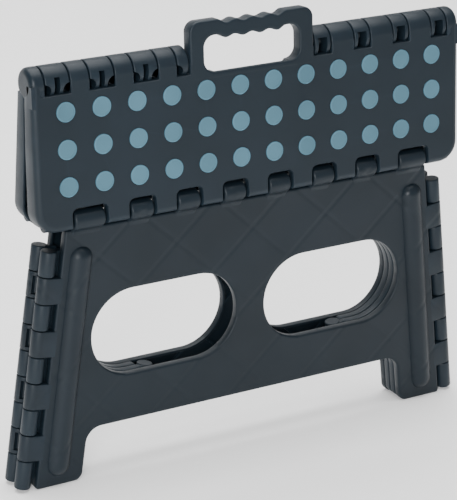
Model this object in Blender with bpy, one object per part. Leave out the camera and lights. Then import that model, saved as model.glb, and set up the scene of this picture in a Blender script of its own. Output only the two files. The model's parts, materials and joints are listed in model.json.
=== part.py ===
"""Folding step stool, modelled folded and standing on its feet.

Two top halves meet in a tent at the centre hinge. A leg panel hangs from the outer edge of each
half, and two folded end panels lie between the legs. X runs along the stool, -Y is its front and
+Z is up. The origin is on the floor, under the middle. Sizes are in millimetres until a mesh is
made, where they become metres.
"""
import math

import bmesh
import bpy
from mathutils import Matrix, Vector

MM = 0.001

# Driving dimensions
DOT_PITCH = 30.0                        # spacing of the grip dots along the top
ROW_PITCH = 0.956 * DOT_PITCH
DOT_RADIUS = 0.256 * DOT_PITCH
DOT_PROUD = 0.9
DOT_COLUMNS = 12
TOP_HALF_LENGTH = 6.4 * DOT_PITCH       # from the middle to the end of the top
LEG_FACE_Y = 0.48 * DOT_PITCH           # how far the leg's face is from the middle plane
PLATE = 2.6                             # wall of every moulded plate
RIM = 2.4                               # wall of every skirt
GAP = 0.3                               # between parts that touch
FACE_TOP_Z = 50.3                       # centre hinge above the middle dot row, along the face
FACE_LOW_Z = -57.3                      # outer hinge under the middle dot row, along the face
CENTRE_R = 12.9                         # barrels of the centre hinge
OUTER_R = 8.1                           # barrels of the outer hinges
OUTER_AXIS_Y = 13.8
OUTER_AXIS_Z = 218.7
CORNER_R = 6.45                         # barrels of the corner hinges
MID_R = 6.3                             # barrels of the end panels' middle hinges
CORNER_X = 201.8                        # corner axis at the floor
EDGE_SLOPE = math.atan(0.13)            # lean of the leg's edge and of the end hinges
END_ARM = 101.88                        # corner axis to middle axis
CENTRE_PIN_R = 3.0
OUTER_PIN_R = 2.5
CORNER_PIN_R = 2.2
MID_PIN_R = 2.0
LOOSE_PIVOT = 0.5                       # extra bore in the hinges that close the linkage
SINK = 0.25                             # how far an arm stays inside the faces it blends with
BARREL_SIDES = 12
CENTRE_SIDES = 16
BORE_SIDES = 8
DOT_SIDES = 10
OWN_R = 5.4                             # the top's own knuckles on the outer hinges
BORE_END = 0.8                          # how far a bore runs past the pin in it
OUTSIDE = 20.0                          # how far a cutter runs past what it cuts

# Worked out from them
AXIS_RISE = FACE_TOP_Z - FACE_LOW_Z
AXIS_STEP = CENTRE_R - OUTER_R
TOP_ARM = math.hypot(AXIS_RISE, AXIS_STEP)
ARM_LEAN = math.asin(OUTER_AXIS_Y / TOP_ARM)
FACE_TILT = ARM_LEAN - math.atan2(AXIS_STEP, AXIS_RISE)
CENTRE_AXIS_Z = OUTER_AXIS_Z + TOP_ARM * math.cos(ARM_LEAN)
CORNER_AXIS_Y = LEG_FACE_Y - CORNER_R
END_SPAN = math.sqrt(END_ARM ** 2 - CORNER_AXIS_Y ** 2)     # the same, seen from the front
SKIRT_Y = LEG_FACE_Y / 2                # legs lie outside this plane, end panels inside it

# Top halves, in the face frame: y back from the face, z up it from the middle dot row
TOP_LOW_EDGE = -63.0
TOP_DEPTH_CENTRE = CENTRE_R - GAP
TOP_DEPTH_EDGE = 6.6
TOP_SKIRT_Z = 34.0                      # from here up the long skirt has its full depth
END_WALL_X = 172.0                      # the deep walls of the two ends start here
END_DEPTH_MIDDLE = 16.2
END_DEPTH_EDGE = 17.8
TOP_CORNER_R = 17.0
HANDLE_X = -2.8                         # middle of the handle
HANDLE_HALF = 1.84 * DOT_PITCH
HANDLE_SPAN = (HANDLE_X - HANDLE_HALF, HANDLE_X + HANDLE_HALF)
HANDLE_TOP = 2.73 * DOT_PITCH
HANDLE_THICK = 11.1
SLOT_HALF = 1.43 * DOT_PITCH
KNUCKLE_NOTCH = 1.42 * DOT_PITCH        # edge of the plate where the other half's knuckles show
SLOT_LOW = 1.39 * DOT_PITCH
SLOT_HIGH = 2.33 * DOT_PITCH
HANDLE_CLEAR = 1.2                      # handle to the knuckles beside it
HANDLE_CORNER = 8.5
SLOT_CORNER = 9.0
FINGER_PITCH = 15.4                     # four finger dips along the grip
FINGER_DIP = 3.2                        # deepest point of a dip under the grip's shoulders
FINGER_CREST = 2.0                      # height of the crests between the dips
WELL_HALF = HANDLE_HALF + 1.5
WELL_LOW = FACE_TOP_Z - (HANDLE_TOP - FACE_TOP_Z) - 3.4
WELL_WALL_TOP = 40.4
WELL_WALL_DEPTH = 8.3
CENTRE_PITCH = 1.235 * DOT_PITCH        # knuckle spacing of the centre hinge
WIDE_KNUCKLE = 0.69 * DOT_PITCH
NARROW_KNUCKLE = 0.51 * DOT_PITCH
OUTER_PITCH = 1.37 * DOT_PITCH          # knuckle spacing of the outer hinges
OUTER_KNUCKLE = 0.66 * DOT_PITCH
END_KNUCKLE = 0.88 * DOT_PITCH
END_KNUCKLE_X = 4.92 * DOT_PITCH
POCKET_TOP = -1.56 * DOT_PITCH
OUTER_PIN_X = 177.0
CENTRE_PIN_X = (62.0, 186.0)

# Legs and end panels, seen from the front
LEG_TOP_Z = 211.0
LEG_EDGE = 9.2                          # corner axis to the edge of the panel
ARCH_Z = 42.6
FOOT_INNER_X = 152.2
HOLE_X = (0.43 * DOT_PITCH, 4.77 * DOT_PITCH)
HOLE_Z = (82.2, 154.2)
HOLE_R = (HOLE_Z[1] - HOLE_Z[0]) / 2
RIDGE_X = 175.0
RIDGE_SLOPE = 0.121
RIDGE_Z = (18.0, 187.0)
RIDGE_R = 10.5
RIDGE_HEIGHT = 6.0
RIB_X = 78.0                            # middles of the crossed ribs behind a leg
RIB_Z = 118.0
RIB_LEAN = 42.0                         # degrees
RIB_HALF = 0.9                          # half a rib's thickness
KNUCKLE_LOW = 2.1                       # along the corner axis, from the floor
KNUCKLE_FIRST = 26.2
KNUCKLE_PITCH = 21.5
KNUCKLE_HIGH = 197.4
CORNER_PIN_SPAN = (6.0, KNUCKLE_HIGH - 4.2)
CROWN = 193.4                           # top of the end panels, under the open top's barrels

LEG_COLOUR = (0.028, 0.043, 0.060, 1)
DOT_COLOUR = (0.20, 0.34, 0.40, 1)
PIN_COLOUR = (0.05, 0.06, 0.07, 1)


# Modelling helpers

def material(name, colour, roughness):
    made = bpy.data.materials.new(name)
    made.use_nodes = True
    shader = made.node_tree.nodes["Principled BSDF"]
    shader.inputs["Base Color"].default_value = colour
    shader.inputs["Roughness"].default_value = roughness
    shader.inputs["Metallic"].default_value = 0.0
    return made


def prism(bm, outline, low, high, axis="Y"):
    """Extrude a closed outline: (x, z) pairs along Y, or (y, z) pairs along X."""
    def point(pair, height):
        if axis == "Y":
            return (pair[0], height, pair[1])
        return (height, pair[0], pair[1])

    first = [bm.verts.new(point(pair, low)) for pair in outline]
    last = [bm.verts.new(point(pair, high)) for pair in outline]
    faces = [bm.faces.new(first), bm.faces.new(list(reversed(last)))]
    for i in range(len(outline)):
        j = (i + 1) % len(outline)
        faces.append(bm.faces.new((first[i], last[i], last[j], first[j])))
    bmesh.ops.recalc_face_normals(bm, faces=faces)


def box(bm, x, y, z):
    prism(bm, [(x[0], z[0]), (x[1], z[0]), (x[1], z[1]), (x[0], z[1])], min(y), max(y))


def cylinder(bm, start, end, radius, sides=BARREL_SIDES):
    start, end = Vector(start), Vector(end)
    turn = (end - start).to_track_quat("Z", "Y").to_matrix().to_4x4()
    bmesh.ops.create_cone(bm, cap_ends=True, segments=sides, radius1=radius, radius2=radius,
                          depth=(end - start).length,
                          matrix=Matrix.Translation((start + end) / 2) @ turn)


def rounded(corners, steps=3):
    """Outline through (x, z, radius) corners, with each corner turned into an arc."""
    outline = []
    for i, (x, z, radius) in enumerate(corners):
        corner = Vector((x, z))
        back = (Vector(corners[i - 1][:2]) - corner).normalized()
        ahead = (Vector(corners[(i + 1) % len(corners)][:2]) - corner).normalized()
        half = back.angle(ahead) / 2
        if radius == 0:
            arc = [corner]
        else:
            centre = corner + (back + ahead).normalized() * (radius / math.sin(half))
            start = corner + back * (radius / math.tan(half)) - centre
            end = corner + ahead * (radius / math.tan(half)) - centre
            sweep = math.atan2(end.y, end.x) - math.atan2(start.y, start.x)
            sweep = (sweep + math.pi) % (2 * math.pi) - math.pi
            first = math.atan2(start.y, start.x)
            count = steps + (1 if radius > 20 else 0)
            turns = [first + sweep * k / count for k in range(count + 1)]
            arc = [centre + Vector((math.cos(a), math.sin(a))) * radius for a in turns]
        for point in arc:
            if not outline or (point - outline[-1]).length > 0.01:
                outline.append(point)
    return [(point.x, point.y) for point in outline]


def build(name, bm):
    mesh = bpy.data.meshes.new(name)
    bm.to_mesh(mesh)
    bm.free()
    made = bpy.data.objects.new(name, mesh)
    bpy.context.scene.collection.objects.link(made)
    return made


def solid(name, *shapes):
    """One object out of shapes that don't touch; each shape is (function, arguments...)."""
    bm = bmesh.new()
    for make, *values in shapes:
        make(bm, *values)
    return build(name, bm)


def merge(target, how, tool):
    """Add, cut or intersect one object with another by an exact Boolean, and use that one up."""
    tool.hide_render = True
    tool.display_type = "WIRE"
    change = target.modifiers.new("merge", "BOOLEAN")
    change.operation = how
    change.solver = "EXACT"
    change.object = tool
    graph = bpy.context.evaluated_depsgraph_get()
    graph.update()
    changed = bpy.data.meshes.new_from_object(target.evaluated_get(graph))
    target.modifiers.remove(change)
    spent = target.data
    target.data = changed
    bpy.data.meshes.remove(spent)
    bpy.data.objects.remove(tool)
    return target


def combine(target, how, *shapes):
    """The same with shapes that don't touch each other; each shape is as in solid."""
    return merge(target, how, solid("tool", *shapes))


def pivot(name, spot, parent=None):
    """An empty on a joint's axis; turning it moves all that hangs from it."""
    made = bpy.data.objects.new(name, None)
    bpy.context.scene.collection.objects.link(made)
    made.empty_display_size = 0.02
    made["spot"] = [value * MM for value in spot]
    made.location = made["spot"]
    if parent:
        made.parent = parent
        made.location = Vector(made["spot"]) - Vector(parent["spot"])
    return made


def finish(made, parent, colour, roughness, anchor=None, tilt=0.0):
    """Scale to metres, put the mesh's anchor on its pivot, and give it a material."""
    anchor = Vector(parent["spot"]) / MM if anchor is None else Vector(anchor)
    bm = bmesh.new()
    bm.from_mesh(made.data)
    bmesh.ops.dissolve_limit(bm, angle_limit=math.radians(0.05), verts=bm.verts, edges=bm.edges)
    bmesh.ops.triangulate(bm, faces=bm.faces)
    bmesh.ops.translate(bm, vec=-anchor, verts=bm.verts)
    bmesh.ops.scale(bm, vec=(MM, MM, MM), verts=bm.verts)
    bm.to_mesh(made.data)
    bm.free()
    made.data.shade_smooth()
    made.data.set_sharp_from_angle(angle=math.radians(30))
    made.rotation_euler.x = tilt
    made.parent = parent
    made.data.materials.clear()
    made.data.materials.append(material(made.name + "_plastic", colour, roughness))


# Places on the leaning end hinges

def end_point(side, y, along, out=0.0):
    """A point in an end's plane: along its corner axis from the floor, and outward from it."""
    sine, cosine = math.sin(EDGE_SLOPE), math.cos(EDGE_SLOPE)
    x = side * (CORNER_X - along * sine + out * cosine)
    return (x, y, along * cosine + out * sine)


def end_bar(bm, side, y, along, out):
    """A bar with its sides along and across the leaning axis, seen from the front."""
    corners = [(along[0], out[0]), (along[1], out[0]), (along[1], out[1]), (along[0], out[1])]
    spots = [end_point(side, 0, a, o) for a, o in corners]
    prism(bm, [(spot[0], spot[2]) for spot in spots], min(y), max(y))


def end_cylinder(bm, side, y, along, out, radius, sides=BARREL_SIDES):
    cylinder(bm, end_point(side, y, along[0], out), end_point(side, y, along[1], out),
             radius, sides)


def edge_x(z, out):
    """X of the line that runs along the corner axis at a distance from it."""
    return CORNER_X - z * math.tan(EDGE_SLOPE) + out / math.cos(EDGE_SLOPE)


def corner_bore(side, y, radius):
    """A cutter for the bore that holds a corner pin."""
    span = (CORNER_PIN_SPAN[0] - BORE_END, CORNER_PIN_SPAN[1] + BORE_END)
    return (end_cylinder, side, y, span, 0, radius, BORE_SIDES)


def corner_segments():
    """Spans of the corner hinge from the floor up: end panel, leg, end panel and so on."""
    cuts = [KNUCKLE_FIRST + KNUCKLE_PITCH * k for k in range(8)]
    return list(zip([KNUCKLE_LOW] + cuts, cuts + [KNUCKLE_HIGH]))


# Top halves

def centre_segments():
    """Spans of the centre hinge that belong to the rear half."""
    left = [-6.03 * DOT_PITCH + CENTRE_PITCH * k for k in range(4)]
    right = [1.795 * DOT_PITCH + CENTRE_PITCH * k for k in range(4)]
    low, high = HANDLE_SPAN[0] - HANDLE_CLEAR, HANDLE_SPAN[1] + HANDLE_CLEAR
    spans = [(x, min(x + WIDE_KNUCKLE, low)) for x in left]
    return spans + [(max(x, high), x + NARROW_KNUCKLE) for x in right]


def between(spans, low, high):
    """The spans left over between others, from low to high."""
    starts = [low] + [end for _, end in spans]
    ends = [start for start, _ in spans] + [high]
    return [(a, b) for a, b in zip(starts, ends) if b - a > 1]


def outer_segments():
    """Spans of an outer hinge that belong to the leg."""
    inner = [((k + 0.5) * OUTER_PITCH, OUTER_KNUCKLE) for k in range(3)]
    right = inner + [(END_KNUCKLE_X, END_KNUCKLE)]
    spans = [(x - width / 2, x + width / 2) for x, width in right]
    return [(-b, -a) for a, b in reversed(spans)] + spans


def outer_bore(axis):
    """A cutter for the bore that holds an outer pin, along X at (y, z)."""
    end = OUTER_PIN_X + BORE_END
    return (cylinder, (-end, *axis), (end, *axis), OUTER_PIN_R + GAP, BORE_SIDES)


def top_outline(inset):
    half, low, high = TOP_HALF_LENGTH - inset, TOP_LOW_EDGE + inset, FACE_TOP_Z + 2
    radius = TOP_CORNER_R - inset
    return rounded([(-half, low, radius), (half, low, radius), (half, high, 0), (-half, high, 0)])


def dots_of(row, skip=0.0):
    """X of each grip dot in a row, leaving out those nearer the middle than skip."""
    places = [(k - (DOT_COLUMNS - 1) / 2) * DOT_PITCH for k in range(DOT_COLUMNS)]
    return [(x, row * ROW_PITCH) for x in places if abs(x) > skip]


def top_half(name, back, front_half):
    """One half of the top in the face frame, with y running away from the face times back."""
    def y(*depths):
        return sorted(back * depth for depth in depths)

    made = shell(name, back, y)
    if not front_half:
        combine(made, "UNION", (prism, well_outline(RIM, WELL_WALL_TOP), *y(SINK, WELL_WALL_DEPTH)))
        combine(made, "DIFFERENCE", (prism, well_outline(0, HANDLE_TOP), *y(-OUTSIDE, OUTSIDE)))

    mine, theirs = centre_segments(), between(centre_segments(), -200, 200)
    if front_half:
        end = TOP_HALF_LENGTH - 1.5
        mine = [(max(a, -end), min(b, end)) for a, b in theirs if not a < 0 < b]
        theirs = centre_segments()
    axis = (back * CENTRE_R, FACE_TOP_Z)
    barrels = [(cylinder, (a + 2 * GAP, *axis), (b - 2 * GAP, *axis), CENTRE_R, CENTRE_SIDES)
               for a, b in mine]
    combine(made, "UNION", *barrels)
    gussets = [(box, (a + 3 * GAP, b - 3 * GAP), y(1, 9), (TOP_SKIRT_Z, FACE_TOP_Z - 1))
               for a, b in mine]
    combine(made, "UNION", *gussets)
    clear = [(cylinder, (a - SINK, *axis), (b + SINK, *axis), CENTRE_R + 2 * GAP,
              CENTRE_SIDES) for a, b in theirs]
    combine(made, "DIFFERENCE", *clear)
    above = [(box, (a - 0.4, b + 0.4), y(-OUTSIDE, 14), (KNUCKLE_NOTCH, HANDLE_TOP))
             for a, b in theirs]
    combine(made, "DIFFERENCE", *above)

    if front_half:
        handle(made, y)

    axis = (back * OUTER_R, FACE_LOW_Z)
    taken = [(a - 1, b + 1) for a, b in outer_segments()]
    pockets = [(box, span, y(-OUTSIDE, OUTSIDE), (TOP_LOW_EDGE - 5, POCKET_TOP)) for span in taken]
    combine(made, "DIFFERENCE", *pockets)
    own = between(taken, -185, 185)
    combine(made, "UNION", *[(box, (a + SINK, b - SINK), y(1, OUTER_R), (-62, -52))
                             for a, b in own])
    combine(made, "UNION", *[(cylinder, (a + GAP, *axis), (b - GAP, *axis), OWN_R)
                             for a, b in own])

    combine(made, "DIFFERENCE", outer_bore(axis))
    axis = (back * CENTRE_R, FACE_TOP_Z)
    near, far = CENTRE_PIN_X[0] - BORE_END, CENTRE_PIN_X[1] + BORE_END
    bores = [(cylinder, (side * near, *axis), (side * far, *axis), CENTRE_PIN_R + GAP, BORE_SIDES)
             for side in (-1, 1)]
    combine(made, "DIFFERENCE", *bores)

    places = dots_of(-1) + dots_of(0) + dots_of(1, 0 if front_half else WELL_HALF)
    holes = [(cylinder, (x, back * -2, z), (x, back * (PLATE + 3), z), DOT_RADIUS + GAP,
              DOT_SIDES)
             for x, z in places]
    return combine(made, "DIFFERENCE", *holes)


def shell(name, back, y):
    """The hollow box of a top half: deep at its ends, and tapering to its long outer edge."""
    profile = [(0, TOP_LOW_EDGE), (END_DEPTH_EDGE, TOP_LOW_EDGE), (END_DEPTH_MIDDLE, 0),
               (TOP_DEPTH_CENTRE, FACE_TOP_Z), (0, FACE_TOP_Z)]
    taper = [(TOP_DEPTH_EDGE, TOP_LOW_EDGE - 5), (TOP_DEPTH_EDGE, TOP_LOW_EDGE),
             (TOP_DEPTH_CENTRE, TOP_SKIRT_Z), (TOP_DEPTH_CENTRE, FACE_TOP_Z + 5),
             (OUTSIDE, FACE_TOP_Z + 5), (OUTSIDE, TOP_LOW_EDGE - 5)]
    made = solid(name, (prism, [(back * a, b) for a, b in profile],
                        -TOP_HALF_LENGTH, TOP_HALF_LENGTH, "X"))
    combine(made, "INTERSECT", (prism, top_outline(0), -OUTSIDE, OUTSIDE))
    combine(made, "DIFFERENCE", (prism, [(back * a, b) for a, b in taper],
                                 -END_WALL_X, END_WALL_X, "X"))
    hollow = solid("hollow", (prism, top_outline(RIM + 0.4), *y(PLATE, OUTSIDE)))
    ribs = [(box, (-190, 190), y(0, TOP_DEPTH_EDGE + 0.9), (z - RIB_HALF, z + RIB_HALF))
            for z in (-1.5 * ROW_PITCH, -ROW_PITCH / 2)]
    combine(hollow, "DIFFERENCE", *ribs)
    return merge(made, "DIFFERENCE", hollow)


def well_outline(grow, top):
    """The rear half's opening, which takes the handle when the stool is open."""
    left, right = HANDLE_X - WELL_HALF - grow, HANDLE_X + WELL_HALF + grow
    low, radius = WELL_LOW - grow, 9.0 + grow
    return rounded([(left, low, radius), (right, low, radius), (right, top, 0), (left, top, 0)])


def finger_wave(x):
    """Height of the grip's edge over its shoulders, which are flat past the last dip."""
    turn = 2 * math.pi * x / FINGER_PITCH
    if abs(x) > 2 * FINGER_PITCH:
        return 0.0
    if abs(x) > 1.5 * FINGER_PITCH:
        return FINGER_DIP * (math.cos(turn) - 1) / 2
    return FINGER_CREST * (math.cos(turn) + 1) / 2 - FINGER_DIP


def handle(made, y):
    """The carrying handle above the front half, waved for the fingers above and in the slot."""
    def waves(height):
        places = [FINGER_PITCH * k / 6 for k in range(12, -13, -1)]
        return [(HANDLE_X + x, height + finger_wave(x), 0) for x in places]

    low, (left, right) = TOP_SKIRT_Z + 4, HANDLE_SPAN
    outline = [(left, low, 0), (right, low, 0), (right, HANDLE_TOP, HANDLE_CORNER),
               *waves(HANDLE_TOP), (left, HANDLE_TOP, HANDLE_CORNER)]
    combine(made, "UNION", (prism, rounded(outline), *y(SINK, HANDLE_THICK)))
    left, right = HANDLE_X - SLOT_HALF, HANDLE_X + SLOT_HALF
    slot = [(left, SLOT_LOW, SLOT_CORNER), (right, SLOT_LOW, SLOT_CORNER),
            (right, SLOT_HIGH, SLOT_CORNER), *waves(SLOT_HIGH), (left, SLOT_HIGH, SLOT_CORNER)]
    combine(made, "DIFFERENCE", (prism, rounded(slot), *y(-OUTSIDE, OUTSIDE)))
    thin = (left + SLOT_CORNER, right - SLOT_CORNER)
    combine(made, "DIFFERENCE", (box, thin, y(PLATE, OUTSIDE), (low - 1, SLOT_LOW + 1)))


def grip_row(name, back, places):
    """A row of soft dots, joined under the plate by the runner they are moulded from."""
    def y(*depths):
        return sorted(back * depth for depth in depths)

    runner = (PLATE + GAP, 4.8)
    first, last = places[0], places[-1]
    made = solid(name, (box, (first[0], last[0]), y(*runner), (first[1] - 2.2, first[1] + 2.2)))
    dots = [(cylinder, (x, back * -DOT_PROUD, z), (x, back * (runner[1] - 0.4), z), DOT_RADIUS,
             DOT_SIDES) for x, z in places]
    return combine(made, "UNION", *dots)


# Legs

def leg_outline(inset):
    """The leg seen from the front, with the arch between its feet."""
    step = inset / math.cos(EDGE_SLOPE)
    foot, top, arch = inset, LEG_TOP_Z - inset, ARCH_Z + inset
    slope = math.tan(EDGE_SLOPE)
    right = [(edge_x(top, -LEG_EDGE) - step, top, 0), (edge_x(foot, -LEG_EDGE) - step, foot, 1.5),
             (FOOT_INNER_X + step - foot * slope, foot, max(7.5 - inset, 1)),
             (FOOT_INNER_X + step - arch * slope, arch, 13.5 + inset)]
    left = [(-x, z, radius) for x, z, radius in reversed(right)]
    return rounded(right + left)


def hole_outline(side, grow):
    low, high = HOLE_X[0] - grow, HOLE_X[1] + grow
    bottom, top, radius = HOLE_Z[0] - grow, HOLE_Z[1] + grow, HOLE_R + grow
    return rounded([(side * low, bottom, radius), (side * high, bottom, radius),
                    (side * high, top, radius), (side * low, top, radius)])


def slanted_rib(bm, x, z, length, degrees, depth):
    """A thin straight rib behind a plate, through (x, z)."""
    turn = math.radians(degrees)
    ahead = Vector((math.cos(turn), math.sin(turn))) * length / 2
    aside = Vector((-math.sin(turn), math.cos(turn))) * RIB_HALF
    middle = Vector((x, z))
    corners = [middle - ahead - aside, middle + ahead - aside,
               middle + ahead + aside, middle - ahead + aside]
    prism(bm, [tuple(corner) for corner in corners], min(depth), max(depth))


def leg_panel(name, back):
    """A leg in world axes; back is -1 at the front and 1 at the rear."""
    def y(*values):
        return sorted(back * value for value in values)

    face, skirt = LEG_FACE_Y, SKIRT_Y + GAP
    made = solid(name, (prism, leg_outline(0), *y(face, skirt)))
    hollow = solid("hollow", (prism, leg_outline(RIM), *y(face - PLATE, skirt - 5)))
    rims = [(prism, hole_outline(side, RIM), *y(face, skirt - 9)) for side in (-1, 1)]
    combine(hollow, "DIFFERENCE", *rims)
    for lean in (-RIB_LEAN, RIB_LEAN):
        ribs = [(slanted_rib, x, RIB_Z, 330.0, lean, y(face, skirt - 9)) for x in (-RIB_X, RIB_X)]
        combine(hollow, "DIFFERENCE", *ribs)
    merge(made, "DIFFERENCE", hollow)
    combine(made, "DIFFERENCE", *[(prism, hole_outline(side, 0), -OUTSIDE, OUTSIDE)
                                  for side in (-1, 1)])

    arm_y = y(face - SINK, skirt + SINK)
    axis = (back * OUTER_AXIS_Y, OUTER_AXIS_Z)
    arms = [(box, (a + SINK, b - SINK), arm_y, (LEG_TOP_Z - 6, OUTER_AXIS_Z))
            for a, b in outer_segments()]
    combine(made, "UNION", *arms)
    barrels = [(cylinder, (a, *axis), (b, *axis), OUTER_R) for a, b in outer_segments()]
    combine(made, "UNION", *barrels)
    combine(made, "DIFFERENCE", outer_bore(axis))

    leg_y = back * CORNER_AXIS_Y
    for side in (-1, 1):
        spans = [(a + GAP, b - GAP) for a, b in corner_segments()[1::2]]
        bars = [(end_bar, side, arm_y, (a + SINK, b - SINK), (-LEG_EDGE - 1.5, 0))
                for a, b in spans]
        combine(made, "UNION", *bars)
        barrels = [(end_cylinder, side, leg_y, span, 0, CORNER_R) for span in spans]
        combine(made, "UNION", *barrels)
    for side in (-1, 1):
        combine(made, "DIFFERENCE", corner_bore(side, leg_y, CORNER_PIN_R + GAP))
        merge(made, "UNION", ridge(side, back))
    return made


def ridge(side, back):
    """The round-backed ridge that stiffens each edge of the leg."""
    depth = back * (LEG_FACE_Y - RIDGE_R + RIDGE_HEIGHT)
    ends = [(side * (RIDGE_X - RIDGE_SLOPE * z), depth, z) for z in RIDGE_Z]
    made = solid("ridge", (cylinder, *ends, RIDGE_R, 16))
    for end in ends:
        ball = bmesh.new()
        bmesh.ops.create_uvsphere(ball, u_segments=16, v_segments=8, radius=RIDGE_R,
                                  matrix=Matrix.Translation(end))
        merge(made, "UNION", build("ball", ball))
    face = sorted((back * (LEG_FACE_Y - 1), back * (LEG_FACE_Y + OUTSIDE)))
    return combine(made, "INTERSECT", (box, (-300, 300), face, (-50, 400)))


# End panels

def mid_span(low, high):
    """Where a height range of the folded middle hinge lies along its leaning axis."""
    rise = END_SPAN * math.sin(EDGE_SLOPE)
    return [(z + rise) / math.cos(EDGE_SLOPE) for z in (low, high)]


def end_outline(side, inset):
    """Half an end panel, folded, seen from the front."""
    slope = math.tan(EDGE_SLOPE)
    step = inset / math.cos(EDGE_SLOPE)
    edge = MID_R + 0.6 + inset - END_SPAN
    foot, arch = 0.6 + inset, ARCH_Z + inset
    low, high = HOLE_Z[0] - inset, HOLE_Z[1] + inset
    crown = CROWN - inset
    top_out = end_point(1, 0, crown, -LEG_EDGE - inset)
    top_in = end_point(1, 0, crown, edge)
    radius = max(3.0 - inset, 0.6)
    corners = [(edge_x(foot, -LEG_EDGE) - step, foot, 1.0),
               (top_out[0], top_out[2], 1.0),
               (top_in[0], top_in[2], 1.0),
               (edge_x(high, edge), high, radius),
               (HOLE_X[1] + inset, high, HOLE_R + inset),
               (HOLE_X[1] + inset, low, HOLE_R + inset),
               (edge_x(low, edge), low, radius),
               (edge_x(arch, edge), arch, radius),
               (FOOT_INNER_X + step - arch * slope, arch, 13.5 + inset),
               (FOOT_INNER_X + step - foot * slope, foot, max(7.5 - inset, 1.0))]
    return rounded([(side * x, z, r) for x, z, r in corners])


def end_half(name, side, back, loose):
    """Half an end panel; loose widens its corner bores, where the linkage is opened."""
    def y(*values):
        return sorted(back * value for value in values)

    skirt = SKIRT_Y
    made = solid(name, (prism, end_outline(side, 0), *y(GAP, skirt)))
    hollow = solid("hollow", (prism, end_outline(side, RIM), *y(GAP + PLATE, 12)))
    lean = math.degrees(EDGE_SLOPE) * side
    combine(hollow, "DIFFERENCE",
            (slanted_rib, side * edge_x(100.0, -30.0), 100.0, 260.0, 90 + lean, y(0, 13)))
    merge(made, "DIFFERENCE", hollow)

    corner_y = back * CORNER_AXIS_Y
    spans = [(a + GAP, b - GAP) for a, b in corner_segments()[0::2]]
    near = CORNER_AXIS_Y - CORNER_R + 1.0
    bars = [(end_bar, side, y(near, skirt - SINK), (max(a, 7.0) + SINK, b - SINK),
             (-LEG_EDGE - 1.5, 0)) for a, b in spans]
    combine(made, "UNION", *bars)
    combine(made, "UNION", *[(end_cylinder, side, corner_y, span, 0, CORNER_R) for span in spans])
    bore = CORNER_PIN_R + GAP + (LOOSE_PIVOT if loose else 0)
    combine(made, "DIFFERENCE", corner_bore(side, corner_y, bore))

    spans = [span for part in (lower_mid(), upper_mid()) for span in part[back]]
    bars = [(end_bar, side, y(GAP + SINK, MID_R - 2 * SINK), (a + SINK, b - SINK),
             (-END_SPAN, MID_R + 2.5 - END_SPAN)) for a, b in spans]
    combine(made, "UNION", *bars)
    barrels = [(end_cylinder, side, 0, span, -END_SPAN, MID_R) for span in spans]
    combine(made, "UNION", *barrels)
    for part in (lower_mid(), upper_mid()):
        bore = (end_cylinder, side, 0, part["bore"], -END_SPAN, MID_PIN_R + GAP, BORE_SIDES)
        combine(made, "DIFFERENCE", bore)
    return made


def mid_hinge(low, high):
    """Three knuckles: the outer two belong to the front half, the middle one to the rear."""
    third = (high - low) / 3
    front = [(low, low + third - GAP), (high - third + GAP, high)]
    rear = [(low + third + GAP, high - third - GAP)]
    return {-1: front, 1: rear, "bore": (low + 2.0, high - 2.0), "pin": (low + 3.0, high - 3.0)}


def lower_mid():
    low, high = mid_span(ARCH_Z, HOLE_Z[0])
    return mid_hinge(low + 1.0, high - 0.6)


def upper_mid():
    low = mid_span(HOLE_Z[1], 0)[0]
    return mid_hinge(low + 2.0, CROWN - 1.0)


# The whole stool

for old in list(bpy.data.objects):
    bpy.data.objects.remove(old)

leg_front = pivot("leg_front", (0, -OUTER_AXIS_Y, 0))
top_front = pivot("top_front", (0, -OUTER_AXIS_Y, OUTER_AXIS_Z), leg_front)
top_rear = pivot("top_rear", (0, 0, CENTRE_AXIS_Z), top_front)
leg_rear = pivot("leg_rear", (0, OUTER_AXIS_Y, OUTER_AXIS_Z), top_rear)

finish(leg_panel("leg_front_panel", -1), leg_front, LEG_COLOUR, 0.45)
finish(leg_panel("leg_rear_panel", 1), leg_rear, LEG_COLOUR, 0.45)
finish(top_half("top_front_panel", 1, True), top_front, LEG_COLOUR, 0.45,
       (0, OUTER_R, FACE_LOW_Z), -FACE_TILT)
finish(top_half("top_rear_panel", -1, False), top_rear, LEG_COLOUR, 0.45,
       (0, -CENTRE_R, FACE_TOP_Z), FACE_TILT)

for row, label in ((1, "upper"), (0, "middle"), (-1, "lower")):
    finish(grip_row("grip_row_front_" + label, 1, dots_of(row)), top_front, DOT_COLOUR, 0.6,
           (0, OUTER_R, FACE_LOW_Z), -FACE_TILT)
for row, label, sign in ((1, "upper_left", -1), (1, "upper_right", 1), (0, "middle", 0),
                         (-1, "lower", 0)):
    dots = dots_of(row, WELL_HALF if sign else 0)
    dots = [dot for dot in dots if sign == 0 or dot[0] * sign > 0]
    finish(grip_row("grip_row_rear_" + label, -1, dots), top_rear, DOT_COLOUR, 0.6,
           (0, -CENTRE_R, FACE_TOP_Z), FACE_TILT)


def pin(name, parent, start, end, radius):
    finish(solid(name, (cylinder, start, end, radius, BORE_SIDES)), parent, PIN_COLOUR, 0.4)


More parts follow.
